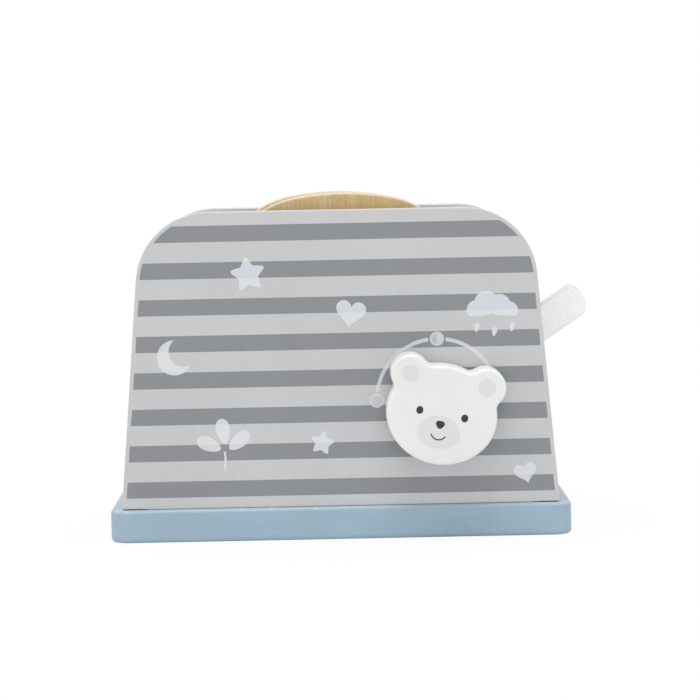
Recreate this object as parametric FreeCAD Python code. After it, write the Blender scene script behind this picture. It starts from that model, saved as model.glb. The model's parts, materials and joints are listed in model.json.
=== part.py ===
import FreeCAD, Part
import math
import os

# Toy toaster of painted boards, in millimetres, at the size of the real toy.
# X runs towards the lever, Y from front to back and Z up.
# The origin is the middle of the base's underside.
# From front to back its ends are a stack: panel, cheek layer, core layer, cheek layer, panel.

# Panels, the two printed faces of the toaster
panel_foot_width = 199.0
panel_height = 134.5
panel_lean_deg = 4.84
panel_corner_radius = 33.0
panel_thickness = 9.0
panel_edge_round = 0.7
panel_foot_round = 1.6

# Base
base_thickness = 15.0
base_end_overhang = 5.5
base_side_overhang = 2.0
base_corner_radius = 8.5
base_top_round = 1.8
base_bottom_round = 2.0

# Boards between the panels
cheek_layer = 25.0
core_layer = 15.0
core_inset = 4.0
slot_length = 108.0
mouth_round = 1.2
divider_thickness = 27.0
divider_gap = 2.5

# Lever, pressed down by its outer end
lever_width = 15.0
lever_thickness = 14.0
lever_outer_arm = 60.0
lever_inner_arm = 62.0
lever_rise_deg = 33.4
lever_press_deg = 24.0
lever_upper_corner = 4.0
lever_lower_corner = 6.5
lever_elbow_round = 12.0
lever_edge_round = 1.6
lever_pin_diameter = 8.0
lift_dowel_diameter = 8.0
lift_dowel_end_gap = 2.5
pivot_from_slot = 10.2
pivot_above_base = 58.55

# Tray under the slices, with a notch for the lever's inner arm
tray_thickness = 6.5
tray_end_gap = 0.75
tray_side_gap = 0.5
tray_corner_radius = 2.5
tray_notch_width = 16.5
tray_notch_margin = 3.0
tray_peg_diameter = 8.0
tray_peg_spread = 52.0
tray_peg_reach = 9.5

# Slices of toast
toast_end_play = 3.6
toast_height = 85.4
toast_thickness = 12.0
toast_crown_radius = 122.0
toast_shoulder_radius = 42.0
toast_shoulder_end_deg = 50.0
toast_lobe_radius = 16.0
toast_waist = 2.5
toast_waist_radius = 10.0
toast_foot_radius = 6.0
toast_edge_round = 1.2
toast_front_shift = 2.9
toast_rear_shift = 0.4

# Knob, a bear's head that turns on a dowel
knob_axis_x = 44.75
knob_axis_above_base = 47.7
knob_tilt_deg = 12.0
knob_thickness = 20.0
knob_head_width = 49.6
knob_head_height = 44.4
oval_join_deg = 45.0
knob_ear_diameter = 17.6
knob_ear_spread = 34.6
knob_ear_rise = 15.6
knob_ear_blend = 4.0
knob_edge_round = 1.6
knob_axle_side = -2.0
knob_axle_rise = 4.9
knob_axle_diameter = 8.0
knob_axle_grip = 12.0
knob_washer_diameter = 20.0
knob_washer_thickness = 1.5
retainer_diameter = 16.0
retainer_thickness = 3.5
retainer_recess = 4.1

# Dowels and screws that hold the stack together
dowel_diameter = 6.0
dowel_sink = 5.0
dowel_low_x = 76.0
dowel_low_above_base = 25.0
dowel_mid_x = 80.0
dowel_mid_above_base = 42.0
dowel_high_x = 68.0
dowel_high_above_base = 111.0
screw_shank_diameter = 4.0
screw_head_diameter = 8.0
screw_length = 35.0
screw_tip_length = 4.0
screw_head_sink = 0.5
screw_drive_width = 1.0
screw_drive_span = 4.6
screw_drive_depth = 1.3
screw_outer_x = 86.0
screw_inner_x = 66.0

# Clearances
glue_gap = 0.05
running_gap = 0.1
rest_gap = 0.3
swing_gap = 0.5
screw_hole_gap = 0.3

# Places that follow from the sizes above
core_half = core_layer / 2
slot_outer = core_half + cheek_layer
body_half = slot_outer + panel_thickness
cheek_middle = core_half + cheek_layer / 2
divider_half = divider_thickness / 2
slot_middle = (divider_half + slot_outer) / 2
slot_half = slot_length / 2
toast_width = slot_length - 2 * toast_end_play
body_top = base_thickness + panel_height
core_top = body_top - core_inset
pivot_x = slot_half + pivot_from_slot
pivot_z = base_thickness + pivot_above_base
arm_half = lever_width / 2
half_press_deg = lever_press_deg / 2
inner_rest_deg = 180.0 + half_press_deg
lift_x = pivot_x - lever_inner_arm * math.cos(math.radians(half_press_deg))
lift_z = pivot_z - lever_inner_arm * math.sin(math.radians(half_press_deg))
tray_travel = 2 * lever_inner_arm * math.sin(math.radians(half_press_deg))
tray_bottom = lift_z + lift_dowel_diameter / 2 + rest_gap
tray_top = tray_bottom + tray_thickness
divider_bottom = tray_top + tray_travel + divider_gap
knob_axis_z = base_thickness + knob_axis_above_base
far = 2 * panel_foot_width
near = 0.01


def vector(x, y, z):
    return FreeCAD.Vector(x, y, z)


def line(start, end):
    """Straight edge between two (x, z) points of the plane y = 0."""
    return Part.LineSegment(vector(start[0], 0, start[1]), vector(end[0], 0, end[1])).toShape()


def polar(centre, radius, angle_deg):
    angle = math.radians(angle_deg)
    return (centre[0] + radius * math.cos(angle), centre[1] + radius * math.sin(angle))


def arc(centre, radius, start_deg, end_deg):
    """Arc in the plane y = 0, with angles counted from X towards Z."""
    points = [polar(centre, radius, a) for a in (start_deg, (start_deg + end_deg) / 2, end_deg)]
    return Part.Arc(*[vector(x, 0, z) for x, z in points]).toShape()


def polyline(points):
    return [line(a, b) for a, b in zip(points, points[1:])]


def board(edges, y_front, thickness):
    """Board of the given outline, from its front face towards the back."""
    face = Part.Face(Part.Wire(Part.__sortEdges__(edges)))
    solid = face.extrude(vector(0, thickness, 0))
    solid.translate(vector(0, y_front, 0))
    return solid


def rod(x, z, diameter, y_front, length):
    """Round rod or hole along Y."""
    return Part.makeCylinder(diameter / 2, length, vector(x, y_front, z), vector(0, 1, 0))


def block(x_low, x_high, y_low, y_high, z_low, z_high):
    return Part.makeBox(x_high - x_low, y_high - y_low, z_high - z_low, vector(x_low, y_low, z_low))


def edges_on(shape, axis, value):
    """Edges that lie wholly in the plane axis = value."""
    found = []
    for edge in shape.Edges:
        box = edge.BoundBox
        low = getattr(box, axis + "Min")
        high = getattr(box, axis + "Max")
        if abs(low - value) < near and abs(high - value) < near:
            found.append(edge)
    return found


def round_faces(shape, radius, front, back):
    """Round the outline of a board on its front and back face."""
    return shape.makeFillet(radius, edges_on(shape, "Y", front) + edges_on(shape, "Y", back))


def turned(shape, x, z, angle_deg):
    """Copy turned about a line along Y, from X towards Z."""
    copy = shape.copy()
    copy.rotate(vector(x, 0, z), vector(0, -1, 0), angle_deg)
    return copy


# Outline that the panels and the boards between them share
def body_outline(inset):
    lean = math.radians(panel_lean_deg)
    radius = panel_corner_radius - inset
    foot = panel_foot_width / 2 - inset / math.cos(lean)
    top = body_top - inset
    corner_z = top - radius
    corner_x = foot - (corner_z - base_thickness) * math.tan(lean) - radius / math.cos(lean)
    right = (corner_x, corner_z)
    left = (-corner_x, corner_z)
    return [
        line((-foot, base_thickness), (foot, base_thickness)),
        line((foot, base_thickness), polar(right, radius, panel_lean_deg)),
        arc(right, radius, panel_lean_deg, 90),
        line((corner_x, top), (-corner_x, top)),
        arc(left, radius, 90, 180 - panel_lean_deg),
        line(polar(left, radius, 180 - panel_lean_deg), (-foot, base_thickness)),
    ]


# Six dowels run from panel to panel through the end blocks
def dowel_places():
    pattern = [
        (dowel_low_x, base_thickness + dowel_low_above_base),
        (dowel_mid_x, base_thickness + dowel_mid_above_base),
        (dowel_high_x, base_thickness + dowel_high_above_base),
    ]
    return [(side * x, z) for side in (-1, 1) for x, z in pattern]


dowel_half = slot_outer + dowel_sink


def dowels(diameter):
    rods = [rod(x, z, diameter, -dowel_half, 2 * dowel_half) for x, z in dowel_places()]
    return Part.makeCompound(rods)


dowel_holes = dowels(dowel_diameter + 2 * glue_gap)


# Six screws rise through the base into the end blocks
def screw_places():
    outer = [(side * screw_outer_x, back * cheek_middle) for side in (-1, 1) for back in (-1, 1)]
    inner = [(side * screw_inner_x, 0.0) for side in (-1, 1)]
    return outer + inner


def screw_body(growth):
    """Countersunk screw about Z, or the hole for it where growth is more than 0."""
    head = screw_head_diameter / 2 + growth
    shank = screw_shank_diameter / 2 + growth
    sink = 0.0 if growth else screw_head_sink
    cone = screw_head_diameter / 2 - screw_shank_diameter / 2
    tip = screw_head_sink + screw_length + growth
    profile = [
        (0, sink),
        (head, sink),
        (head, screw_head_sink),
        (shank, screw_head_sink + cone),
        (shank, tip - screw_tip_length),
        (0, tip),
    ]
    corners = [point for point, after in zip(profile, profile[1:] + profile[:1]) if point != after]
    face = Part.Face(Part.Wire(Part.__sortEdges__(polyline(corners + corners[:1]))))
    return face.revolve(vector(0, 0, 0), vector(0, 0, 1), 360)


def screw():
    half = screw_drive_width / 2
    span = screw_drive_span / 2
    deep = screw_head_sink + screw_drive_depth
    body = screw_body(0)
    body = body.cut(block(-span, span, -half, half, 0, deep))
    return body.cut(block(-half, half, -span, span, 0, deep))


def at_screws(shape):
    copies = []
    for x, y in screw_places():
        copy = shape.copy()
        copy.translate(vector(x, y, 0))
        copies.append(copy)
    return Part.makeCompound(copies)


base_holes = at_screws(screw_body(screw_hole_gap))
pilot_holes = at_screws(screw_body(glue_gap))


# Base board, rounded in plan and along both edges
def make_base_board():
    half_length = panel_foot_width / 2 + base_end_overhang
    half_depth = body_half + base_side_overhang
    body = block(-half_length, half_length, -half_depth, half_depth, 0, base_thickness)
    upright = [e for e in body.Edges if e.BoundBox.ZLength > base_thickness / 2]
    body = body.makeFillet(base_corner_radius, upright)
    body = body.makeFillet(base_top_round, edges_on(body, "Z", base_thickness))
    body = body.makeFillet(base_bottom_round, edges_on(body, "Z", 0))
    return body.cut(base_holes)


# Pegs that the tray comes to rest on, two in each panel
def peg_places():
    z = tray_bottom - rest_gap - tray_peg_diameter / 2
    return [(side * tray_peg_spread / 2, z) for side in (-1, 1)]


def pegs(diameter):
    rods = []
    for x, z in peg_places():
        length = dowel_sink + tray_peg_reach
        rods.append(rod(x, z, diameter, -dowel_half, length))
        rods.append(rod(x, z, diameter, dowel_half - length, length))
    return Part.makeCompound(rods)


peg_holes = pegs(tray_peg_diameter + 2 * glue_gap)


def make_panel(y_front):
    body = board(body_outline(0), y_front, panel_thickness)
    feet = [e for e in edges_on(body, "Z", base_thickness) if e.BoundBox.XLength < near]
    body = body.makeFillet(panel_foot_round, feet)
    body = round_faces(body, panel_edge_round, y_front, y_front + panel_thickness)
    return body.cut(dowel_holes).cut(peg_holes)


# The front panel also carries the knob's axle, with a recess behind for its retainer
def make_front_panel():
    body = make_panel(-body_half)
    hole = knob_axle_diameter + 2 * running_gap
    body = body.cut(rod(knob_axis_x, knob_axis_z, hole, -body_half, panel_thickness))
    recess = retainer_diameter + 2 * swing_gap
    return body.cut(rod(knob_axis_x, knob_axis_z, recess, -slot_outer - retainer_recess, retainer_recess))


# End pieces, cut from boards of the shared outline
def end_piece(side, y_low, y_high):
    body = board(body_outline(core_inset), y_low, y_high - y_low)
    x_low, x_high = sorted((side * slot_half, side * far))
    body = body.common(block(x_low, x_high, y_low, y_high, 0, far))
    mouth = max(edges_on(body, "X", side * slot_half), key=lambda edge: edge.BoundBox.ZMin)
    return body.makeFillet(mouth_round, [mouth])


def make_spacer(side, back):
    y_low, y_high = sorted((back * core_half, back * slot_outer))
    body = end_piece(side, y_low, y_high)
    return body.cut(dowel_holes).cut(pilot_holes)


# A cheek is a spacer that also holds the lever's pin
def make_cheek(back):
    hole = lever_pin_diameter + 2 * glue_gap
    return make_spacer(1, back).cut(rod(pivot_x, pivot_z, hole, -slot_outer, 2 * slot_outer))


def side_line(direction_deg, side):
    """Point and direction of an arm's edge line, with the rest gap outside it."""
    offset = arm_half + rest_gap
    return polar((pivot_x, pivot_z), offset, direction_deg + side * 90), direction_deg


def meet(first, second):
    """Crossing point of two such lines."""
    (ax, az), a_deg = first
    (bx, bz), b_deg = second
    ux, uz = math.cos(math.radians(a_deg)), math.sin(math.radians(a_deg))
    vx, vz = math.cos(math.radians(b_deg)), math.sin(math.radians(b_deg))
    along = ((bx - ax) * vz - (bz - az) * vx) / (ux * vz - uz * vx)
    return (ax + along * ux, az + along * uz)


def lever_window():
    """Room for the lever between its two stops, open to the slots and to the outside."""
    upper_outer = side_line(lever_rise_deg, 1)
    lower_outer = side_line(lever_rise_deg - lever_press_deg, -1)
    upper_inner = side_line(inner_rest_deg - lever_press_deg, -1)
    lower_inner = side_line(inner_rest_deg, 1)
    corners = [
        meet(upper_outer, upper_inner),
        polar(upper_outer[0], far, upper_outer[1]),
        polar(lower_outer[0], far, lower_outer[1]),
        meet(lower_outer, lower_inner),
        polar(lower_inner[0], far, lower_inner[1]),
        polar(upper_inner[0], far, upper_inner[1]),
    ]
    room = board(polyline(corners + corners[:1]), -core_half, core_layer)
    turn = rod(pivot_x, pivot_z, lever_width + 2 * swing_gap, -core_half, core_layer)
    return room.fuse(turn)


# The lever's two stops are the core layer's blocks above and below it
def make_lever_blocks():
    body = end_piece(1, -core_half, core_half).cut(lever_window())
    lower, upper = sorted(body.Solids, key=lambda solid: solid.CenterOfMass.z)
    return [part.cut(dowel_holes).cut(pilot_holes) for part in (lower, upper)]


def make_left_core():
    return end_piece(-1, -core_half, core_half).cut(dowel_holes).cut(pilot_holes)


def make_slot_divider():
    body = board(body_outline(core_inset), -divider_half, divider_thickness)
    body = body.common(block(-slot_half, slot_half, -divider_half, divider_half, divider_bottom, far))
    mouths = [e for e in edges_on(body, "Z", core_top) if e.BoundBox.XLength > divider_thickness]
    return body.makeFillet(mouth_round, mouths)


# Lever, a bent bar with its pin at the bend and the lift dowel at its inner end
def outer_arm():
    half = arm_half
    end = lever_outer_arm
    upper = lever_upper_corner
    lower = lever_lower_corner
    edges = [
        line((0, -half), (end - lower, -half)),
        arc((end - lower, lower - half), lower, -90, 0),
        line((end, lower - half), (end, half - upper)),
        arc((end - upper, half - upper), upper, 0, 90),
        line((end - upper, half), (0, half)),
        line((0, half), (0, -half)),
    ]
    return board(edges, -lever_thickness / 2, lever_thickness)


def inner_arm():
    half = arm_half
    edges = [
        line((0, -half), (lever_inner_arm, -half)),
        arc((lever_inner_arm, 0), half, -90, 90),
        line((lever_inner_arm, half), (0, half)),
        line((0, half), (0, -half)),
    ]
    return board(edges, -lever_thickness / 2, lever_thickness)


def make_lever():
    face = lever_thickness / 2
    body = turned(outer_arm(), 0, 0, lever_rise_deg)
    body = body.fuse(turned(inner_arm(), 0, 0, inner_rest_deg))
    body = body.fuse(rod(0, 0, lever_width, -face, lever_thickness)).removeSplitter()
    across = [e for e in body.Edges if e.BoundBox.YLength > face and abs(e.BoundBox.XMin) < arm_half]
    elbow = max(across, key=lambda edge: edge.BoundBox.ZMin)
    body = body.makeFillet(lever_elbow_round, [elbow])
    body = round_faces(body, lever_edge_round, -face, face)
    body.translate(vector(pivot_x, 0, pivot_z))
    body = body.cut(rod(pivot_x, pivot_z, lever_pin_diameter + 2 * running_gap, -face, lever_thickness))
    return body.cut(rod(lift_x, lift_z, lift_dowel_diameter + 2 * glue_gap, -face, lever_thickness))


def make_lever_pin():
    return rod(pivot_x, pivot_z, lever_pin_diameter, -slot_outer + rest_gap, 2 * (slot_outer - rest_gap))


def make_lift_dowel():
    half_length = slot_outer - lift_dowel_end_gap
    return rod(lift_x, lift_z, lift_dowel_diameter, -half_length, 2 * half_length)


# Tray, guided by the walls of the well and lifted by the lift dowel
def make_lift_tray():
    x_end = slot_half - tray_end_gap
    y_end = slot_outer - tray_side_gap
    body = block(-x_end, x_end, -y_end, y_end, tray_bottom, tray_top)
    upright = [e for e in body.Edges if e.BoundBox.ZLength > tray_thickness / 2]
    body = body.makeFillet(tray_corner_radius, upright)
    half = tray_notch_width / 2
    notch_x = lift_x - arm_half - tray_notch_margin
    return body.cut(block(notch_x, far, -half, half, tray_bottom, tray_top))


# Slice of toast: crown, shoulders, lobes and a waist above a straight foot
def toast_side():
    """Edges of the right half, from the crown's middle down to the foot's middle."""
    half = toast_width / 2
    shoulder_run = (toast_shoulder_radius - toast_lobe_radius) * math.sin(math.radians(toast_shoulder_end_deg))
    shoulder_x = half - toast_lobe_radius - shoulder_run
    crown_deg = math.degrees(math.asin(shoulder_x / (toast_crown_radius - toast_shoulder_radius)))
    crown = (0, toast_height - toast_crown_radius)
    shoulder = polar(crown, toast_crown_radius - toast_shoulder_radius, 90 - crown_deg)
    lobe = polar(shoulder, toast_shoulder_radius - toast_lobe_radius, 90 - toast_shoulder_end_deg)
    tuck = toast_lobe_radius + toast_waist_radius
    tuck_deg = math.degrees(math.acos(1 - toast_waist / tuck))
    waist = polar(lobe, tuck, -tuck_deg)
    side = half - toast_waist
    foot = (side - toast_foot_radius, toast_foot_radius)
    return [
        arc(crown, toast_crown_radius, 90, 90 - crown_deg),
        arc(shoulder, toast_shoulder_radius, 90 - crown_deg, 90 - toast_shoulder_end_deg),
        arc(lobe, toast_lobe_radius, 90 - toast_shoulder_end_deg, -tuck_deg),
        arc(waist, toast_waist_radius, 180 - tuck_deg, 180),
        line((side, waist[1]), (side, toast_foot_radius)),
        arc(foot, toast_foot_radius, 0, -90),
        line((foot[0], 0), (0, 0)),
    ]


def make_toast(shift, back):
    right = toast_side()
    left = [edge.mirror(vector(0, 0, 0), vector(1, 0, 0)) for edge in right]
    face = toast_thickness / 2
    body = round_faces(board(right + left, -face, toast_thickness), toast_edge_round, -face, face)
    body.translate(vector(shift, back * slot_middle, tray_top))
    return body


# Knob, with its back on a thin washer
knob_back = -body_half - knob_washer_thickness
knob_front = knob_back - knob_thickness


def oval(wide, high):
    """Four arcs that meet smoothly on the diagonals, from the half sizes."""
    join = math.radians(oval_join_deg)
    step = (wide - high) / (math.sin(join) + math.cos(join) - 1)
    end = wide - step * math.cos(join)
    crown = high + step * math.sin(join)
    return [
        arc((wide - end, 0), end, -oval_join_deg, oval_join_deg),
        arc((0, high - crown), crown, oval_join_deg, 180 - oval_join_deg),
        arc((end - wide, 0), end, 180 - oval_join_deg, 180 + oval_join_deg),
        arc((0, crown - high), crown, 180 + oval_join_deg, 360 - oval_join_deg),
    ]


def at_ear(box):
    """Whether an edge through the board lies on an ear's rim, where the ear meets the head."""
    reach = math.hypot(abs(box.XMin) - knob_ear_spread / 2, box.ZMin - knob_ear_rise)
    return box.YLength > knob_thickness - near and abs(reach - knob_ear_diameter / 2) < near


def knob_head():
    """Head and ears about the head's middle, upright."""
    body = board(oval(knob_head_width / 2, knob_head_height / 2), knob_front, knob_thickness)
    for side in (-1, 1):
        ear = rod(side * knob_ear_spread / 2, knob_ear_rise, knob_ear_diameter, knob_front, knob_thickness)
        body = body.fuse(ear)
    body = body.removeSplitter()
    joins = [edge for edge in body.Edges if at_ear(edge.BoundBox)]
    return body, joins


def make_knob():
    body, joins = knob_head()
    body = body.makeFillet(knob_ear_blend, joins)
    body = round_faces(body, knob_edge_round, knob_front, knob_back)
    body.translate(vector(knob_axis_x - knob_axle_side, 0, knob_axis_z - knob_axle_rise))
    body = turned(body, knob_axis_x, knob_axis_z, -knob_tilt_deg)
    hole = knob_axle_diameter + 2 * glue_gap
    return body.cut(rod(knob_axis_x, knob_axis_z, hole, knob_back - knob_axle_grip, knob_axle_grip))


def ring(outer, inner, y_front, thickness):
    body = rod(knob_axis_x, knob_axis_z, outer, y_front, thickness)
    return body.cut(rod(knob_axis_x, knob_axis_z, inner, y_front, thickness))


def make_knob_washer():
    return ring(knob_washer_diameter, knob_axle_diameter + 2 * running_gap, knob_back, knob_washer_thickness)


retainer_front = -slot_outer - retainer_recess + rest_gap


def make_knob_retainer():
    return ring(retainer_diameter, knob_axle_diameter + 2 * glue_gap, retainer_front, retainer_thickness)


def make_knob_axle():
    start = knob_back - knob_axle_grip
    return rod(knob_axis_x, knob_axis_z, knob_axle_diameter, start, retainer_front + retainer_thickness - start)


def make_all():
    lower_block, upper_block = make_lever_blocks()
    return {
        "base_board": make_base_board(),
        "front_panel": make_front_panel(),
        "back_panel": make_panel(slot_outer),
        "front_left_spacer": make_spacer(-1, -1),
        "rear_left_spacer": make_spacer(-1, 1),
        "left_core": make_left_core(),
        "slot_divider": make_slot_divider(),
        "upper_lever_block": upper_block,
        "lower_lever_block": lower_block,
        "front_right_cheek": make_cheek(-1),
        "rear_right_cheek": make_cheek(1),
        "panel_dowels": dowels(dowel_diameter),
        "tray_pegs": pegs(tray_peg_diameter),
        "base_screws": at_screws(screw()),
        "lever": make_lever(),
        "lever_pin": make_lever_pin(),
        "lift_dowel": make_lift_dowel(),
        "lift_tray": make_lift_tray(),
        "toast_front": make_toast(toast_front_shift, -1),
        "toast_rear": make_toast(toast_rear_shift, 1),
        "knob": make_knob(),
        "knob_washer": make_knob_washer(),
        "knob_axle": make_knob_axle(),
        "knob_retainer": make_knob_retainer(),
    }


os.makedirs("parts", exist_ok=True)
for name, shape in make_all().items():
    shape.exportStep("parts/" + name + ".step")
    print(name, len(shape.Solids), "solid(s)", round(shape.Volume / 1000, 2), "cm3", "valid", shape.isValid())
print("lever pivot", round(pivot_x, 2), round(pivot_z, 2), "tray travel", round(tray_travel, 3))
print("tray bottom", round(tray_bottom, 2), "toast top", round(tray_top + toast_height, 2))
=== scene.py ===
# %% [markdown]
# # A wooden play toaster
#
# The toy is a sandwich of painted boards on a blue base, with two wooden slices of toast,
# a white lever and a white knob. The boards arrive ready made as the frame, at their real size.
# What is left for this lesson is the paint, the wood, the printing and the light.

# %% Load the toaster's boards
import bpy, bmesh, json, math
from mathutils import Matrix, Vector


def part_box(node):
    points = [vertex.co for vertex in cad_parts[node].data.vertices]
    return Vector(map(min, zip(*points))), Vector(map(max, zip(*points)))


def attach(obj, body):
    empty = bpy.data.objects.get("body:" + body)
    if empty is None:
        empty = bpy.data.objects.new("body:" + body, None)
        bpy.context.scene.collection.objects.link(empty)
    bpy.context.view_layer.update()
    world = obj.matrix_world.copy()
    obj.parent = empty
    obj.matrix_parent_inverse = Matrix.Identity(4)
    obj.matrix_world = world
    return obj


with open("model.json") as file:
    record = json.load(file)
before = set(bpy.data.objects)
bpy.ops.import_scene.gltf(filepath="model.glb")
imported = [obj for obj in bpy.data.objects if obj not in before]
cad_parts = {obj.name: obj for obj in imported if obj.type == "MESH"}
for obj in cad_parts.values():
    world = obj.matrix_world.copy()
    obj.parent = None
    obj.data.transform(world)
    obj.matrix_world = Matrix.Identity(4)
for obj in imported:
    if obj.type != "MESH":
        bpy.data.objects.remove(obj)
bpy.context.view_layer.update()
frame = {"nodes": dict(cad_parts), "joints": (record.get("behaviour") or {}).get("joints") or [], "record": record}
pieces = frame["nodes"]
print("boards and pieces:", len(pieces))

# %% [markdown]
# ## Sizes to print and paint by
#
# Blender works in metres, and the toy is easier to think of in millimetres, so `mm` turns one
# into the other. The stripes and the dial are printed on the front panel, so their places are
# counted from that panel. Asking the frame for the panel's box keeps the print on the board.
# The box can't tell how wide the foot is without its rounded corners, how the sides lean or how
# round the shoulders are, so those are three named values.

# %% Measure the front panel
mm = 0.001
panel_low, panel_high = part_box("front_panel")
panel_face = panel_low.y
panel_foot = panel_low.z
panel_top = panel_high.z
panel_half = 99.5 * mm
panel_lean = math.radians(4.84)
panel_corner = 33 * mm
panel_height_mm = round((panel_top - panel_foot) / mm, 1)
print("front panel:", panel_height_mm, "mm high, face at y", round(panel_face / mm, 1))

# %% [markdown]
# ## Small tools for building materials
#
# A material is a graph of nodes. A few helpers keep the graphs short to read: `add` makes a
# node and sets it up, and `calculate` makes a Math node whose inputs may be numbers or other
# nodes' outputs, so a formula in the text looks much like the formula in the graph.

# %% Node helpers
def plug(tree, socket, value):
    if isinstance(value, bpy.types.NodeSocket):
        tree.links.new(value, socket)
    else:
        socket.default_value = value


def add(tree, kind, inputs=None, **settings):
    made = tree.nodes.new(kind)
    for key, value in settings.items():
        setattr(made, key, value)
    for key, value in (inputs or {}).items():
        plug(tree, made.inputs[key], value)
    return made


def calculate(tree, operation, *values, clamp=False):
    made = add(tree, "ShaderNodeMath", operation=operation, use_clamp=clamp)
    for socket, value in zip(made.inputs, values):
        plug(tree, socket, value)
    return made.outputs[0]


def times(tree, product, *factors):
    for factor in factors:
        product = calculate(tree, "MULTIPLY", product, factor)
    return product


def limits(tree, value, low, high, to_low, to_high):
    """Stretch low..high to to_low..to_high, and hold the value at those ends beyond them."""
    made = add(tree, "ShaderNodeMapRange", {"Value": value, "From Min": low, "From Max": high,
                                            "To Min": to_low, "To Max": to_high})
    return made.outputs[0]


def blend_colours(tree, share, first, second):
    made = add(tree, "ShaderNodeMix", data_type="RGBA")
    for key, value in zip((0, 6, 7), (share, first, second)):
        plug(tree, made.inputs[key], value)
    return made.outputs[2]


def colour_ramp(tree, share, low, dark, high, light):
    """From `dark` at low to `light` at high."""
    made = add(tree, "ShaderNodeValToRGB", {"Fac": share})
    for stop, position, shade in zip(made.color_ramp.elements, (low, high), (dark, light)):
        stop.position = position
        stop.color = shade
    return made.outputs[0]


def split(tree, vector):
    return add(tree, "ShaderNodeSeparateXYZ", {0: vector}).outputs


def facing(tree):
    """Which way the surface faces, as x, y and z. It belongs to the piece and turns with it."""
    return split(tree, add(tree, "ShaderNodeTexCoord").outputs["Normal"])


print("node helpers ready")

# %% [markdown]
# Every finish starts the same way: a Principled shader, and the place of each point on the
# object. The boards' meshes lie at their place in the frame, so Object coordinates are metres
# on the real toy, and a pattern of a given size comes out at that size on every board. A noise
# texture asks how many lumps go into a metre, and `noise` works that out from a lump's size.

# %% Start a finish
noise_low, noise_high = 0.3, 0.7


def colour(red, green, blue):
    """A colour as the eye sees it, from 0 to 255, turned into the light values that nodes use."""
    parts = [c / 255 for c in (red, green, blue)]
    return tuple(c / 12.92 if c < 0.04045 else ((c + 0.055) / 1.055) ** 2.4 for c in parts) + (1,)


def start_finish(name, roughness):
    finish = bpy.data.materials.new(name)
    finish.use_nodes = True
    tree = finish.node_tree
    shader = tree.nodes["Principled BSDF"]
    shader.inputs["Roughness"].default_value = roughness
    place = add(tree, "ShaderNodeTexCoord").outputs["Object"]
    return finish, tree, shader, place


def noise(tree, place, size, detail=3.0, stretch=(1, 1, 1)):
    """Noise whose lumps are about `size` metres across, drawn out along an axis by `stretch`."""
    scale = tuple(1 / (size * s) for s in stretch)
    scaled = add(tree, "ShaderNodeMapping", {"Vector": place, "Scale": scale})
    made = add(tree, "ShaderNodeTexNoise", {"Vector": scaled.outputs[0], "Scale": 1.0, "Detail": detail})
    return made.outputs["Fac"]


def vary(tree, texture, low, high):
    """A value from low to high. Nearly all of a noise lies between noise_low and noise_high."""
    return limits(tree, texture, noise_low, noise_high, low, high)


def raise_surface(tree, shader, height, distance):
    bump = add(tree, "ShaderNodeBump", {"Height": height, "Distance": distance, "Strength": 1.0})
    tree.links.new(bump.outputs[0], shader.inputs["Normal"])


print("finish helpers ready")

# %% [markdown]
# ## Paint
#
# The boards are sprayed with a satin paint. Sprayed paint is never a flat colour: it dries in
# a fine orange peel, it is a little thicker in one place than in another, and dust leaves
# pinhead specks. An image of real paint could show that, but it would blur close up and show
# seams, so three noises of three sizes give it instead. The wide one shifts the colour and the
# gloss by a few percent, and the fine ones raise the surface by hundredths of a millimetre.

# %% Satin paint
peel_size = 1.1 * mm
speck_size = 0.42 * mm
blotch_size = 26 * mm
blotch_tint = (0.975, 1.02)
speck_tint = (0.92, 1.065)
grain_tint = (0.965, 1.02)
speck_low, speck_high = 0.25, 0.75
speck_height, grain_height = 0.35, 1.4
gloss_change = 0.05
paint_relief = 0.02 * mm


def paint_surface(tree, shader, place, paint, grain=None):
    """Tint, gloss and relief. Specks and grain are as high as named, where the peel counts 1."""
    blotch = noise(tree, place, blotch_size, detail=2.0)
    speck = noise(tree, place, speck_size, detail=1.0)
    peel = noise(tree, place, peel_size, detail=2.0)
    dust = limits(tree, speck, speck_low, speck_high, *speck_tint)
    shade = times(tree, vary(tree, blotch, *blotch_tint), dust)
    height = calculate(tree, "ADD", peel, times(tree, speck, speck_height))
    if grain is not None:
        shade = times(tree, shade, vary(tree, grain, *grain_tint))
        height = calculate(tree, "ADD", height, times(tree, grain, grain_height))
    if isinstance(paint, tuple):
        paint = paint[:3]
    tinted = add(tree, "ShaderNodeVectorMath", {0: paint, "Scale": shade}, operation="SCALE")
    tree.links.new(tinted.outputs[0], shader.inputs["Base Color"])
    roughness = shader.inputs["Roughness"].default_value
    gloss = vary(tree, blotch, roughness - gloss_change, roughness + gloss_change)
    plug(tree, shader.inputs["Roughness"], gloss)
    raise_surface(tree, shader, height, paint_relief)


def sprayed_paint(name, paint, roughness=0.5):
    finish, tree, shader, place = start_finish(name, roughness)
    paint_surface(tree, shader, place, paint)
    return finish


board_grey = colour(203, 203, 204)
grey_paint = sprayed_paint("grey_board_paint", board_grey)
print("paint:", grey_paint.name)

# %% [markdown]
# ## The base's blue
#
# The base is cut from solid wood, and its grain runs along it as faint lines under the paint.
# The flat top catches more light than the sides, so the top and the rounded edge between them
# are painted a paler blue: painted light. Paint gets rubbed at such an edge, which shows as a
# few white dashes. Worn edges are often found from the mesh's curvature, but here the surface
# normal is enough: the edge is where the board faces neither up nor sideways.

# %% Blue, painted paler on top as painted light, with a rubbed upper edge
base_blue = colour(160, 185, 202)
painted_light_blue = colour(175, 195, 209)
rubbed_white = colour(228, 234, 238)
edge_begins, edge_full = 0.12, 0.6
base_grain_size = 1.4 * mm
dash_size, dash_share = 1.1 * mm, 0.5


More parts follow.
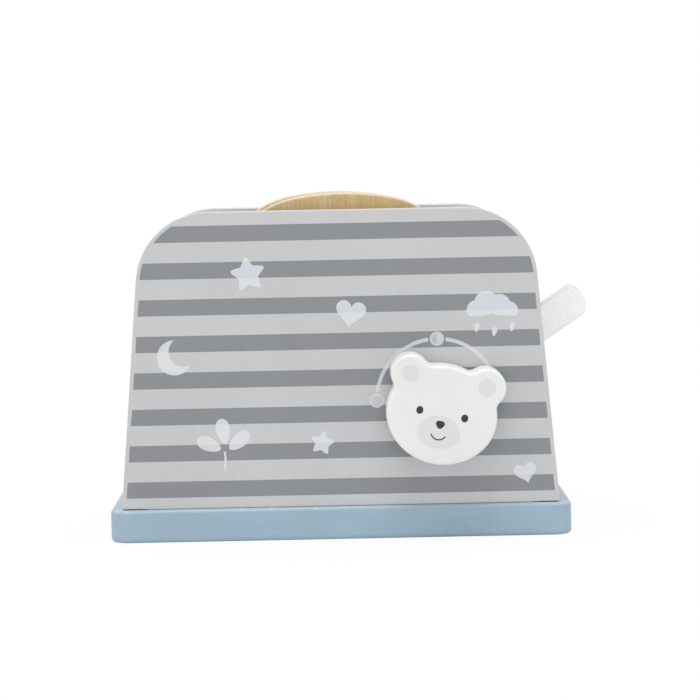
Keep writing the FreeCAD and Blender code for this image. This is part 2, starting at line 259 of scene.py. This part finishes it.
def base_paint():
    finish, tree, shader, place = start_finish("blue_base_paint", roughness=0.48)
    up = facing(tree)[2]
    rounded = limits(tree, up, edge_begins, edge_full, 0.0, 1.0)
    # Painted light: where the board faces up, on its top and its rounded edge, the blue turns paler.
    paint = blend_colours(tree, rounded, base_blue, painted_light_blue)
    edge_alone = times(tree, rounded, limits(tree, up, 0.8, 0.97, 1.0, 0.0))
    dashes = limits(tree, noise(tree, place, dash_size, stretch=(3, 3, 1)), 0.58, 0.66, 0.0, dash_share)
    paint = blend_colours(tree, times(tree, edge_alone, dashes), paint, rubbed_white)
    grain = noise(tree, place, base_grain_size, stretch=(16, 1, 1))
    paint_surface(tree, shader, place, paint, grain)
    return finish


blue_paint = base_paint()
print("paint:", blue_paint.name)

# %% [markdown]
# ## The lever's white
#
# The lever is a short bar whose fine grain runs across its arm. Noise drawn out along an axis
# would cross the sloping arm askew. So the place of each point is turned by the slope first,
# and the lines come out square to the arm. The upper side is painted a little darker and
# warmer than the rest.

# %% White with grain across the arm
lever_slope = math.radians(33.4)
lever_grain_size = 0.8 * mm
lever_white = colour(253, 253, 252)
lever_edge = colour(228, 224, 221)


def lever_paint():
    finish, tree, shader, place = start_finish("white_lever_paint", roughness=0.42)
    turned = add(tree, "ShaderNodeVectorRotate", {"Vector": place, "Angle": lever_slope},
                 rotation_type="Y_AXIS")
    grain = noise(tree, turned.outputs[0], lever_grain_size, stretch=(1, 1, 8))
    rounded = limits(tree, facing(tree)[2], edge_begins, edge_full, 0.0, 1.0)
    paint_surface(tree, shader, place, blend_colours(tree, rounded, lever_white, lever_edge), grain)
    return finish


lever_finish = lever_paint()
print("paint:", lever_finish.name)

# %% [markdown]
# ## The knob's white
#
# The knob's face was printed with a warm white ground. Its sides get less light, so they are
# painted a little lighter than the face, and a thin line of painted highlight runs where the
# front edge rounds over: painted light. The face looks forward, along Y, and the sides don't,
# so how far a point faces along Y tells them apart, and no second mesh is needed.

# %% White face, with painted light on the sides and a painted highlight at the rim
face_white = colour(237, 237, 235)
side_painted_light = colour(243, 243, 242)
rim_painted_highlight = colour(241, 241, 240)


def knob_paint():
    finish, tree, shader, place = start_finish("white_knob_paint", roughness=0.42)
    forward = calculate(tree, "ABSOLUTE", facing(tree)[1])
    side = limits(tree, forward, 0.3, 0.7, 1.0, 0.0)
    past_side = limits(tree, forward, 0.7, 0.85, 0.0, 1.0)
    rim = times(tree, past_side, limits(tree, forward, 0.95, 0.995, 1.0, 0.0))
    # Painted light: a lighter white on the sides, and a painted highlight line where the edge rounds over.
    paint = blend_colours(tree, rim, blend_colours(tree, side, face_white, side_painted_light), rim_painted_highlight)
    paint_surface(tree, shader, place, paint)
    return finish


knob_finish = knob_paint()
print("paint:", knob_finish.name)

# %% [markdown]
# ## Printed stripes
#
# Eight darker stripes are screen printed across the panel and stop a hair short of its edge.
# They could be cut as thin meshes, but ink has no thickness to speak of, so the paint's
# graph works them out instead. A stripe is a band in Z that repeats. The margin needs the
# distance to the panel's outline, which is a leaning side, a top and a round corner between.

# %% Distance to the panel's outline
def panel_distance(tree, x, z):
    """Metres inside the panel's outline, as a node output: 0 at the edge, more towards the middle."""
    rise = calculate(tree, "SUBTRACT", z, panel_foot)
    leaning = calculate(tree, "ADD", calculate(tree, "ABSOLUTE", x), times(tree, rise, math.tan(panel_lean)))
    to_side = times(tree, calculate(tree, "SUBTRACT", panel_half, leaning), math.cos(panel_lean))
    to_top = calculate(tree, "SUBTRACT", panel_top, z)
    near_side = calculate(tree, "MAXIMUM", calculate(tree, "SUBTRACT", panel_corner, to_side), 0.0)
    near_top = calculate(tree, "MAXIMUM", calculate(tree, "SUBTRACT", panel_corner, to_top), 0.0)
    lean = math.sin(panel_lean)
    squares = calculate(tree, "ADD", times(tree, near_side, near_side), times(tree, near_top, near_top))
    apart = calculate(tree, "SUBTRACT", squares, times(tree, near_side, near_top, 2 * lean))
    reach = calculate(tree, "SQRT", times(tree, apart, 1 / (1 - lean**2)))
    to_corner = calculate(tree, "SUBTRACT", panel_corner, reach)
    return calculate(tree, "MINIMUM", to_corner, calculate(tree, "MINIMUM", to_side, to_top))


print("panel corner radius:", round(panel_corner / mm, 1), "mm")

# %% [markdown]
# With that distance known, the stripes are a product of masks. The height below the first
# stripe's top is divided by the pitch, and what is left over after whole pitches draws one band
# again and again, so eight stripes cost no more nodes than one. The other masks keep the ink
# inside the margin, to eight stripes, and on the front face.

# %% Stripes as a mask
stripe_count = 8
stripe_width = 7.4 * mm
stripe_pitch = 16.53 * mm
first_stripe_top = 143.4 * mm
stripe_margin = 1.7 * mm
ink_edge = 0.12 * mm
print_depth = 0.3 * mm


def inked(tree, distance):
    """1 inside the ink, 0 outside, with an edge as soft as a silk screen leaves it."""
    return calculate(tree, "ADD", calculate(tree, "DIVIDE", distance, ink_edge), 0.5, clamp=True)


def stripe_mask(tree, place):
    x, y, z = split(tree, place)
    turns = calculate(tree, "DIVIDE", calculate(tree, "SUBTRACT", first_stripe_top, z), stripe_pitch)
    down = times(tree, calculate(tree, "FRACT", turns), stripe_pitch)
    off_middle = calculate(tree, "ABSOLUTE", calculate(tree, "SUBTRACT", down, stripe_width / 2))
    band = inked(tree, calculate(tree, "SUBTRACT", stripe_width / 2, off_middle))
    started = calculate(tree, "GREATER_THAN", turns, 0.0)
    ended = calculate(tree, "LESS_THAN", turns, float(stripe_count))
    margin = inked(tree, calculate(tree, "SUBTRACT", panel_distance(tree, x, z), stripe_margin))
    front = calculate(tree, "LESS_THAN", y, panel_face + print_depth)
    return times(tree, band, started, ended, margin, front)


stripe_width_mm, stripe_pitch_mm = round(stripe_width / mm, 2), round(stripe_pitch / mm, 2)
print("stripes:", stripe_count, "of", stripe_width_mm, "mm every", stripe_pitch_mm, "mm")

# %% [markdown]
# The panel stands on the base. Its lower edge is rounded, and the base's corners fall away under
# its two ends, so a fine line of shade shows in the joint there. Soft light doesn't draw that
# shade sharply enough by itself, so it is painted into the panel's finish as a dark line just
# above the foot: painted shade.

# %% Striped panel with painted shade in the joint at its foot
stripe_grey = colour(140, 144, 148)
joint_painted_shade = colour(52, 58, 66)
joint_share = 0.95
joint_full, joint_gone = 0.35 * mm, 0.65 * mm
joint_starts, joint_dark_from = 86 * mm, 91 * mm


# Painted shade: a dark line just above the panel's foot, towards its two ends.
def foot_joint_shade(tree, place):
    x, _, z = split(tree, place)
    height = calculate(tree, "SUBTRACT", z, panel_foot)
    low = limits(tree, height, joint_full, joint_gone, joint_share, 0.0)
    ends = limits(tree, calculate(tree, "ABSOLUTE", x), joint_starts, joint_dark_from, 0.0, 1.0)
    return times(tree, low, ends)


def printed_board():
    finish, tree, shader, place = start_finish("striped_panel_paint", roughness=0.5)
    striped = blend_colours(tree, stripe_mask(tree, place), board_grey, stripe_grey)
    paint_surface(tree, shader, place, blend_colours(tree, foot_joint_shade(tree, place), striped, joint_painted_shade))
    return finish


striped_paint = printed_board()
print("paint:", striped_paint.name)

# %% [markdown]
# ## Wood
#
# The slices of toast are light wood under a clear varnish. Wood is noise drawn out a long way
# along the grain: broad bands for the growth rings and short dark dashes for the pores. The
# rounded edge is painted paler than the face: partly because sanding opens the wood there, and
# partly as a painted highlight for the light that the edge catches.
# An image of wood would have to be fitted to each slice. Noise in the frame's own space needs
# no fitting, and the two slices come out different because they lie in different places.

# %% Toast wood
toast_dark = colour(198, 167, 111)
toast_light = colour(223, 199, 151)
toast_pore = colour(165, 130, 82)
toast_edge_sanded_and_lit = colour(226, 214, 196)
ring_share, pore_share, edge_share = 0.4, 0.35, 0.75
wood_relief = 0.03 * mm


def toast_wood():
    finish, tree, shader, place = start_finish("varnished_toast_wood", roughness=0.5)
    rings = noise(tree, place, 3.4 * mm, stretch=(1, 1, 22))
    fibres = noise(tree, place, 0.6 * mm, stretch=(1, 1, 18))
    dashes = noise(tree, place, 0.4 * mm, detail=1.0, stretch=(1, 1, 5))
    pores = limits(tree, dashes, 0.62, 0.72, 0.0, pore_share)
    figure = calculate(tree, "ADD", times(tree, rings, ring_share), times(tree, fibres, 1 - ring_share))
    face = colour_ramp(tree, figure, noise_low, toast_dark, noise_high, toast_light)
    face = blend_colours(tree, pores, face, toast_pore)
    # Partly painted highlight: the rounded edges, which don't face along Y, get a paler colour.
    forward = calculate(tree, "ABSOLUTE", facing(tree)[1])
    edge = limits(tree, forward, 0.75, 0.98, edge_share, 0.0)
    tree.links.new(blend_colours(tree, edge, face, toast_edge_sanded_and_lit), shader.inputs["Base Color"])
    raise_surface(tree, shader, calculate(tree, "ADD", fibres, pores), wood_relief)
    return finish


toast_finish = toast_wood()
print("wood:", toast_finish.name)

# %% [markdown]
# The dowels, pins and the lift tray are bare beech and birch, and the screws are zinc plated.
# They hide inside or underneath, but the tray shows when a slice is lifted out, so they get
# grain too: along X for the tray and along Y for the rods. One function with the two colours
# and the grain's direction as inputs serves them all.

# %% Bare wood, screws and washer
def bare_wood(name, light, dark, stretch):
    finish, tree, shader, place = start_finish(name, roughness=0.6)
    figure = noise(tree, place, 0.9 * mm, detail=4.0, stretch=stretch)
    tree.links.new(colour_ramp(tree, figure, 0.35, dark, 0.65, light), shader.inputs["Base Color"])
    raise_surface(tree, shader, figure, wood_relief)
    return finish


def zinc_steel():
    finish, tree, shader, place = start_finish("zinc_steel", roughness=0.35)
    shader.inputs["Metallic"].default_value = 1.0
    plating = noise(tree, place, 0.5 * mm)
    shade = blend_colours(tree, plating, colour(176, 176, 172), colour(205, 205, 200))
    tree.links.new(shade, shader.inputs["Base Color"])
    plug(tree, shader.inputs["Roughness"], vary(tree, plating, 0.28, 0.42))
    return finish


dowel_finish = bare_wood("beech_dowel", colour(214, 180, 138), colour(190, 150, 108), (1, 20, 1))
tray_finish = bare_wood("birch_tray", colour(222, 200, 160), colour(196, 168, 122), (24, 1, 1))
steel_finish = zinc_steel()
washer_finish = sprayed_paint("washer_fibre", colour(226, 224, 216), roughness=0.6)
print("bare finishes:", [m.name for m in (dowel_finish, tray_finish, steel_finish, washer_finish)])

# %% [markdown]
# ## Dress the boards
#
# Each board keeps its own mesh and only its material slot changes. A table from the record's
# slot names to the finishes does them all in one loop, so no board can be forgotten. The lever
# shares the knob's slot but has its own paint, so it is the one exception.

# %% Give every piece its finish
finishes = {
    "printed_board": striped_paint,
    "grey_board": grey_paint,
    "blue_board": blue_paint,
    "white_wood": knob_finish,
    "toast_wood": toast_finish,
    "dowel_wood": dowel_finish,
    "bare_plywood": tray_finish,
    "washer_fibre": washer_finish,
    "screw_steel": steel_finish,
}
slot_of = {part["node"]: part["material_slot"] for part in frame["record"]["subparts"]}
for name, piece in pieces.items():
    finish = lever_finish if name == "lever" else finishes[slot_of[name]]
    for slot in piece.material_slots:
        slot.material = finish
print("finished:", len(pieces))

# %% [markdown]
# ## Screen-printed motifs
#
# Over the stripes lies a second print in translucent white. It is thick enough to feel with a
# fingernail, so it is built as thin meshes, five hundredths of a millimetre proud of the board.
# Filled curve objects would do too, but a mesh made in code keeps its outline exact.
# An outline is a list of (x, z) points from a formula. The mesh is that outline filled, then
# given an edge that sinks a little way into the board, so no light gets under it.

# %% Printed patches
ink_relief = 0.05 * mm
ink_sunk = 0.02 * mm


def finish_patch(name, builder, face_y, finish, body):
    """Turn filled faces into a thin closed patch on the board's face."""
    faces = builder.faces[:]
    back = bmesh.ops.extrude_face_region(builder, geom=faces)["geom"]
    for corner in (g for g in back if isinstance(g, bmesh.types.BMVert)):
        corner.co.y = face_y + ink_sunk
    bmesh.ops.recalc_face_normals(builder, faces=builder.faces)
    mesh = bpy.data.meshes.new(name)
    builder.to_mesh(mesh)
    builder.free()
    mesh.materials.append(finish)
    patch = bpy.data.objects.new(name, mesh)
    bpy.context.scene.collection.objects.link(patch)
    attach(patch, body)


def filled(name, outline, face_y, finish, body="root"):
    builder = bmesh.new()
    corners = [builder.verts.new((x, face_y - ink_relief, z)) for x, z in outline]
    face = builder.faces.new(corners)
    face.normal_update()
    bmesh.ops.triangulate(builder, faces=[face], ngon_method="EAR_CLIP")
    finish_patch(name, builder, face_y, finish, body)


def banded(name, outer, inner, face_y, finish, body="root", closed=False):
    """A band between two lines of points, such as a ring or a drawn stroke."""
    builder = bmesh.new()
    lines = [[builder.verts.new((x, face_y - ink_relief, z)) for x, z in side] for side in (outer, inner)]
    count = len(outer)
    for i in range(count if closed else count - 1):
        after = (i + 1) % count
        builder.faces.new((lines[0][i], lines[0][after], lines[1][after], lines[1][i]))
    finish_patch(name, builder, face_y, finish, body)


print("ink stands proud by", round(ink_relief / mm, 3), "mm")

# %% [markdown]
# The printed shapes are the plain ones of any nursery print. Each comes from a formula, not
# from a list of points, so it can be made larger, turned or given more points by one number.
# A polygon with rounded corners is needed for the star and the bear's nose: a circle of the
# wanted radius is set into each corner, touching both sides, and its arc replaces the corner.

# %% Ovals, arcs and rounded corners
def oval(x, z, wide, high, points=64):
    """An ellipse about (x, z) with half sizes `wide` and `high`."""
    made = []
    for i in range(points):
        angle = 2 * math.pi * i / points
        made.append((x + wide * math.cos(angle), z + high * math.sin(angle)))
    return made


def arc_line(x, z, radius, start_deg, end_deg, points=48):
    made = []
    for i in range(points + 1):
        angle = math.radians(start_deg + (end_deg - start_deg) * i / points)
        made.append((x + radius * math.cos(angle), z + radius * math.sin(angle)))
    return made


def rounded_corners(corners, radius, points=6):
    """A closed outline through straight sides, with every corner rounded."""
    made = []
    for i, corner in enumerate(corners):
        here = Vector(corner)
        before = (Vector(corners[i - 1]) - here).normalized()
        after = (Vector(corners[(i + 1) % len(corners)]) - here).normalized()
        half = before.angle(after) / 2
        reach = radius / math.tan(half)
        centre = here + (before + after).normalized() * radius / math.sin(half)
        start = here + before * reach - centre
        end = here + after * reach - centre
        sweep = start.angle_signed(end)
        for j in range(points + 1):
            made.append(tuple(centre + Matrix.Rotation(-sweep * j / points, 2) @ start))
    return made


def placed(outline, x, z, turn_deg):
    """Turn an outline about (0, 0), then move it to (x, z)."""
    turn = Matrix.Rotation(math.radians(turn_deg), 2)
    return [tuple(turn @ Vector(point) + Vector((x, z))) for point in outline]


print("oval of", len(oval(0, 0, 1, 1)), "points")

# %% [markdown]
# The star has long and short corners by turns, and rounding takes the sharpness off them. The
# heart is a well-known curve. The moon is one arc with a second arc bitten out of it. Cutting
# one disc with another would do too, but here the bite's radius is worked out from the tip, so
# that both arcs end in exactly the same two points.

# %% Star, heart and moon
star_points = 5
star_waist = 0.52
star_rounding = 0.11
moon_opening_deg = 58
moon_bite = 0.62


def star(x, z, size, turn_deg):
    corners = []
    for i in range(2 * star_points):
        reach = size if i % 2 == 0 else star_waist * size
        angle = math.radians(90 + turn_deg) + math.pi * i / star_points
        corners.append((x + reach * math.cos(angle), z + reach * math.sin(angle)))
    return rounded_corners(corners, star_rounding * size)


def heart(x, z, size, turn_deg, points=72):
    """The well-known heart curve: its height is a sum of four cosines."""
    made = []
    for i in range(points):
        t = 2 * math.pi * i / points
        high = 13 * math.cos(t) - 5 * math.cos(2 * t) - 2 * math.cos(3 * t) - math.cos(4 * t)
        made.append((size * math.sin(t) ** 3, size * high / 16))
    return placed(made, x, z, turn_deg)


def crescent(x, z, size, turn_deg):
    """A moon: an arc outside, and a smaller one, moved aside, that bites into it."""
    outside = arc_line(0, 0, size, moon_opening_deg, 360 - moon_opening_deg, points=40)
    tip = Vector(outside[0])
    bite_centre = moon_bite * size
    bite_radius = (tip - Vector((bite_centre, 0))).length
    tip_deg = math.degrees(math.atan2(tip.y, tip.x - bite_centre))
    inside = arc_line(bite_centre, 0, bite_radius, 360 - tip_deg, tip_deg, points=28)[1:-1]
    return placed(outside + inside, x, z, turn_deg)


print("star, heart and moon ready")

# %% [markdown]
# The cloud is four puffs that overlap. Joining discs as meshes would work, but a ray from the
# middle gives the outline straight away: the cloud's edge is where the ray leaves the last
# puff. The leaf is an oval that is fuller towards one end.

# %% Cloud and leaf
puffs = [(-0.62, -0.08, 0.38), (-0.22, 0.18, 0.48), (0.3, 0.1, 0.42), (0.68, -0.12, 0.34)]
cloud_base = -0.34
cloud_points = 120
leaf_points = 40
leaf_half_width = 0.27
leaf_taper = 0.25


def cloud(x, z, size, turn_deg):
    """Round puffs on a flat base: how far a ray from the middle gets before it leaves them all."""
    made = []
    for i in range(cloud_points):
        angle = 2 * math.pi * (i + 0.5) / cloud_points
        ray = Vector((math.cos(angle), math.sin(angle)))
        reach = 0.0
        for puff_x, puff_z, radius in puffs:
            centre = Vector((puff_x, puff_z))
            along = ray.dot(centre)
            under = radius**2 - (centre.length_squared - along**2)
            if under > 0:
                reach = max(reach, along + math.sqrt(under))
        if ray.y * reach < cloud_base:
            reach = cloud_base / ray.y
        made.append((size * reach * ray.x, size * reach * ray.y))
    return placed(made, x, z, turn_deg)


def leaf(x, z, length, turn_deg):
    """A rounded leaf from its stalk at (x, z), fullest a little beyond its middle."""
    made = []
    for i in range(leaf_points):
        t = 2 * math.pi * i / leaf_points
        half_width = leaf_half_width * length * math.sin(t) * (1 - leaf_taper * math.cos(t))
        made.append((length * (0.5 - 0.5 * math.cos(t)), half_width))
    return placed(made, x, z, turn_deg)


print("cloud of", len(puffs), "puffs and leaf ready")

# %% [markdown]
# The white ink lets the stripes show through a little: it comes out paler over the light ground
# than over a dark stripe. A see-through ink would do that by itself, at the cost of one more
# step for every ray that goes through it. So the ink is solid, and its material asks the same
# stripe mask for what lies under it.

# %% White ink
def white_ink(name, over_light, over_dark):
    finish, tree, shader, place = start_finish(name, roughness=0.5)
    under = add(tree, "ShaderNodeVectorMath", {0: place, 1: (0, ink_relief, 0)}, operation="ADD").outputs[0]
    paint_surface(tree, shader, place, blend_colours(tree, stripe_mask(tree, under), over_light, over_dark))
    return finish


motif_ink = white_ink("white_motif_ink", colour(224, 225, 227), colour(214, 218, 224))
dial_ink = white_ink("white_dial_ink", colour(221, 223, 226), colour(208, 213, 220))
dial_fill_ink = white_ink("grey_dial_ink", colour(205, 206, 208), colour(192, 196, 201))
print("inks:", [m.name for m in (motif_ink, dial_ink, dial_fill_ink)])

# %% [markdown]
# The motifs lie scattered over the panel: two stars, two hearts, a moon, a cloud with three
# drops and a sprig. They keep clear of the knob and of each other, and each leans its own way,
# as on a hand-drawn print. Their places are in millimetres from the panel's middle and the table.

# %% Print the motifs on the panel
singles = [
    ("print_star_large", star, -40, 121, 9.0, 8),
    ("print_cloud", cloud, 70, 104, 11.5, 0),
    ("print_moon", crescent, -74, 84, 8.0, 32),
    ("print_heart_large", heart, 6, 103, 6.8, -10),
    ("print_star_small", star, -8, 44, 6.2, -12),
    ("print_heart_small", heart, 84, 29, 5.2, 14),
]
for name, shape, x, z, size, turn_deg in singles:
    filled(name, shape(x * mm, z * mm, size * mm, turn_deg), panel_face, motif_ink)
print("single motifs:", len(singles))

# %% [markdown]
# The sprig is three leaves fanned out over a short stalk, and the rain is three small leaves
# that stand almost upright. The stalk is a stroke of even width. It needs no outline of its
# own, because a band between two arcs about one centre has the same width everywhere.

# %% Print the sprig and the cloud's drops
leaves = [(-50, 42, 40), (-52, 44.5, 98), (-54, 42, 156)]
leaf_length = 11.5 * mm
drops = [(62.5, 93), (70.5, 91), (78.5, 93)]
drop_length, drop_lean_deg = 4.2 * mm, 80
stalk_x, stalk_z, stalk_bend = -72 * mm, 37.5 * mm, 20 * mm
stalk_half_width = 0.5 * mm
stalk_angles_deg = (-14, 10)

for number, (x, z, turn_deg) in enumerate(leaves, 1):
    filled("print_leaf_" + str(number), leaf(x * mm, z * mm, leaf_length, turn_deg), panel_face, motif_ink)
for number, (x, z) in enumerate(drops, 1):
    drop = leaf(x * mm, z * mm, drop_length, drop_lean_deg)
    filled("print_drop_" + str(number), drop, panel_face, motif_ink)
stalk_outer = arc_line(stalk_x, stalk_z, stalk_bend + stalk_half_width, *stalk_angles_deg)
stalk_inner = arc_line(stalk_x, stalk_z, stalk_bend - stalk_half_width, *stalk_angles_deg)
banded("print_stalk", stalk_outer, stalk_inner, panel_face, motif_ink)
print("leaves:", len(leaves), "drops:", len(drops))

# %% [markdown]
# ## The dial
#
# Round the knob runs an arc with three marks: empty, half and full, for lightly to well done.
# It could be placed by measuring from the panel's edge, but the frame's joint gives the knob's
# own axis, and an arc about that axis stays true to the knob. The third mark lies behind the
# knob at rest and shows after a quarter turn.

# %% Print the dial
knob_joint = next(joint for joint in frame["joints"] if joint["name"] == "knob_turn")
axis_x, _, axis_z = knob_joint["pos_m"]
dial_radius = 27.6 * mm
dial_stroke = 1.7 * mm
mark_radius = 3.2 * mm
mark_ring = 0.75 * mm
mark_gap_deg = 8.2
mark_deg = {"light": 180, "medium": 90, "dark": 12}


def dial_band(name, start_deg, end_deg):
    outer = arc_line(axis_x, axis_z, dial_radius + dial_stroke / 2, start_deg, end_deg)
    inner = arc_line(axis_x, axis_z, dial_radius - dial_stroke / 2, start_deg, end_deg)
    banded(name, outer, inner, panel_face, dial_ink)


def mark_place(angle_deg):
    angle = math.radians(angle_deg)
    return axis_x + dial_radius * math.cos(angle), axis_z + dial_radius * math.sin(angle)


dial_band("dial_arc_left", mark_deg["light"] - mark_gap_deg, mark_deg["medium"] + mark_gap_deg)
dial_band("dial_arc_right", mark_deg["medium"] - mark_gap_deg, mark_deg["dark"] + mark_gap_deg)
inside = mark_radius - mark_ring
for name, angle_deg in mark_deg.items():
    x, z = mark_place(angle_deg)
    outer, inner = oval(x, z, mark_radius, mark_radius), oval(x, z, inside, inside)
    banded("dial_ring_" + name, outer, inner, panel_face, dial_ink, closed=True)
x, z = mark_place(mark_deg["light"])
filled("dial_fill_light", oval(x, z, inside, inside), panel_face, dial_fill_ink)
x, z = mark_place(mark_deg["medium"])
filled("dial_half_grey", arc_line(x, z, inside, 90, 270, points=24), panel_face, dial_fill_ink)
filled("dial_half_white", arc_line(x, z, inside, -90, 90, points=24), panel_face, dial_ink)
x, z = mark_place(mark_deg["dark"])
filled("dial_fill_dark", oval(x, z, inside, inside), panel_face, dial_ink)
print("dial radius", round(dial_radius / mm, 1), "mm at", round(axis_x / mm, 2), round(axis_z / mm, 2))

# %% [markdown]
# ## The bear's face
#
# The knob is a bear's head cut from a thick board. Its face is a plain one: two round eyes, a
# wide pale muzzle, a nose and a smile. It is easiest to draw upright about the head's middle,
# in millimetres, and then to lean it over with the head. Each patch rides on the knob, so that
# the face turns with it.

# %% Draw the face on the knob
knob_tilt = math.radians(-12)
head_aside, head_below = 2.0 * mm, 4.9 * mm
knob_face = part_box("knob")[0].y
black_ink = sprayed_paint("face_black_ink", colour(46, 46, 48), roughness=0.45)
muzzle_ink = sprayed_paint("face_grey_ink", colour(226, 226, 225), roughness=0.45)
ear_ink = sprayed_paint("face_ear_ink", colour(226, 226, 225), roughness=0.45)


def on_head(outline):
    """Turn an upright outline about the knob's axis to where the head is at rest."""
    turn = Matrix.Rotation(knob_tilt, 2)
    axis = Vector((axis_x, axis_z))
    middle = Vector((head_aside, -head_below))
    return [tuple(turn @ (Vector(point) * mm + middle) + axis) for point in outline]


def face_patch(name, outline, ink, lift=0.0):
    filled(name, on_head(outline), knob_face - lift, ink, "knob")


def face_stroke(name, x, z, radius, start_deg, end_deg, width, lift=0.0):
    outer = on_head(arc_line(x, z, radius + width / 2, start_deg, end_deg))
    inner = on_head(arc_line(x, z, radius - width / 2, start_deg, end_deg))
    banded(name, outer, inner, knob_face - lift, black_ink, "knob")


print("head leans", round(math.degrees(knob_tilt)), "degrees")

# %% [markdown]
# The nose and the smile lie on the muzzle, so they are lifted by the thickness of one layer of
# ink. At one height the two layers would show through each other in patches. The eyes and the
# ears come in mirrored pairs, and one loop over the two sides draws them.

# %% Muzzle, nose, eyes, ears and smile
face_patch("face_muzzle", oval(0, -7.6, 9.6, 7.4), muzzle_ink)
face_patch("face_nose", rounded_corners([(-3.3, -2.5), (3.3, -2.5), (0, -6.9)], 1.3), black_ink, ink_relief)
for side, name in ((-1, "left"), (1, "right")):
    face_patch("face_eye_" + name, oval(side * 10.2, 0.6, 1.55, 1.75), black_ink)
    face_patch("face_ear_" + name, oval(side * 17.4, 15.9, 4.0, 3.8), ear_ink)
face_stroke("face_smile", 0, -7.4, 3.6, 205, 335, 0.55, ink_relief)
print("face drawn about", round(axis_x / mm, 1), round(axis_z / mm, 1))

# %% [markdown]
# ## Floor and light
#
# The toy stands on white paper that has no horizon. A floor lit to white would need so much
# light that the toy's pale paint would burn out. So the paper glows white by itself, but only
# for the camera and in reflections. Near the toy a tenth of the real, lit paper is mixed in,
# which keeps the shadow, and farther out the paper fades to pure white.

# %% Paper floor
def only_seen(tree):
    """1 for rays from the camera, mirror rays and rays through glass, 0 for the rest."""
    path = add(tree, "ShaderNodeLightPath")
    seen = calculate(tree, "MAXIMUM", path.outputs["Is Camera Ray"], path.outputs["Is Glossy Ray"])
    return calculate(tree, "MAXIMUM", seen, path.outputs["Is Transmission Ray"])


shadow_from, shadow_to = 0.15, 0.34
glow_share = 0.9


def paper_floor():
    finish, tree, shader, place = start_finish("paper_floor", roughness=0.9)
    tooth = noise(tree, place, 2 * mm, detail=2.0)
    tint = blend_colours(tree, tooth, colour(238, 238, 238), colour(242, 242, 242))
    tree.links.new(tint, shader.inputs["Base Color"])
    shader.inputs["Specular IOR Level"].default_value = 0.0
    glow = add(tree, "ShaderNodeEmission", {"Color": (1, 1, 1, 1), "Strength": 1.0})
    away = add(tree, "ShaderNodeVectorMath", {0: place}, operation="LENGTH").outputs["Value"]
    white = limits(tree, away, shadow_from, shadow_to, glow_share, 1.0)
    share = calculate(tree, "MULTIPLY", only_seen(tree), white)
    both = add(tree, "ShaderNodeMixShader", {0: share, 1: shader.outputs[0], 2: glow.outputs[0]})
    tree.links.new(both.outputs[0], tree.nodes["Material Output"].inputs["Surface"])
    return finish


floor_half = 6.0
floor_mesh = bpy.data.meshes.new("paper_floor")
corner_signs = [(-1, -1), (1, -1), (1, 1), (-1, 1)]
floor_mesh.from_pydata([(x * floor_half, y * floor_half, 0.0) for x, y in corner_signs], [], [(0, 1, 2, 3)])
floor_mesh.materials.append(paper_floor())
floor = bpy.data.objects.new("paper_floor", floor_mesh)
bpy.context.scene.collection.objects.link(floor)
print("floor:", 2 * floor_half, "m across")

# %% [markdown]
# The light is that of a white tent: nearly even from all sides, from a white sky, with two
# large soft lamps high above. One hangs over the toy and gives the bright upper edges, and one
# hangs a little in front and lights the panel. Small lamps would cast hard shadows instead.

# %% Sky and lamps
sky_strength = 0.81


def white_room():
    room = bpy.data.worlds.new("white_room")
    room.use_nodes = True
    tree = room.node_tree
    background = tree.nodes["Background"]
    background.inputs["Color"].default_value = (1, 1, 1, 1)
    seen = only_seen(tree)
    strength = calculate(tree, "ADD", calculate(tree, "MULTIPLY", seen, 1 - sky_strength), sky_strength)
    plug(tree, background.inputs["Strength"], strength)
    return room


def softbox(name, place, target, size, power):
    light = bpy.data.lights.new(name, "AREA")
    light.shape = "SQUARE"
    light.size = size
    light.energy = power
    lamp = bpy.data.objects.new(name, light)
    lamp.location = place
    lamp.rotation_euler = (Vector(target) - Vector(place)).to_track_quat("-Z", "Y").to_euler()
    bpy.context.scene.collection.objects.link(lamp)


bpy.context.scene.world = white_room()
middle = (0, 0, 80 * mm)
softbox("overhead_softbox", (-0.15, 0.1, 1.5), middle, size=1.1, power=2.7)
softbox("front_softbox", (-0.1, -0.5, 1.5), middle, size=0.8, power=6.6)
print("sky strength", sky_strength)

# %% [markdown]
# ## Camera
#
# The camera stands about 1.2 m in front of the panel, a little left of its middle and 18 cm
# above the table, and looks down by a little over four degrees. A long lens from that far
# keeps the panel's sides true. A small roll tips the stripes up to the right. The three angles
# could go into Euler rotations, but it is plainer to build the camera's own right, up and
# ahead, and to put them into its matrix.

# %% Place the camera
camera_from_panel = 1229.3 * mm
camera_x, camera_z = -1.54 * mm, 177.0 * mm
camera_yaw, camera_pitch, camera_roll = (math.radians(a) for a in (0.324, 4.235, -1.125))
focal_px = 2725.9
frame_px = 700

ahead = Vector((math.sin(camera_yaw) * math.cos(camera_pitch),
                math.cos(camera_yaw) * math.cos(camera_pitch), -math.sin(camera_pitch)))
level = Vector((math.cos(camera_yaw), -math.sin(camera_yaw), 0))
upright = level.cross(ahead)
right = math.cos(camera_roll) * level + math.sin(camera_roll) * upright
up = -math.sin(camera_roll) * level + math.cos(camera_roll) * upright
camera_data = bpy.data.cameras.new("camera")
camera_data.sensor_width = 36.0
camera_data.lens = focal_px * camera_data.sensor_width / frame_px
camera = bpy.data.objects.new("camera", camera_data)
place = Vector((camera_x, panel_face - camera_from_panel, camera_z))
turn = Matrix((right, up, -ahead)).transposed().to_4x4()
camera.matrix_world = Matrix.Translation(place) @ turn
bpy.context.scene.collection.objects.link(camera)
bpy.context.scene.camera = camera
bpy.context.scene.view_settings.view_transform = "Standard"
print("lens:", round(camera_data.lens, 1), "mm")
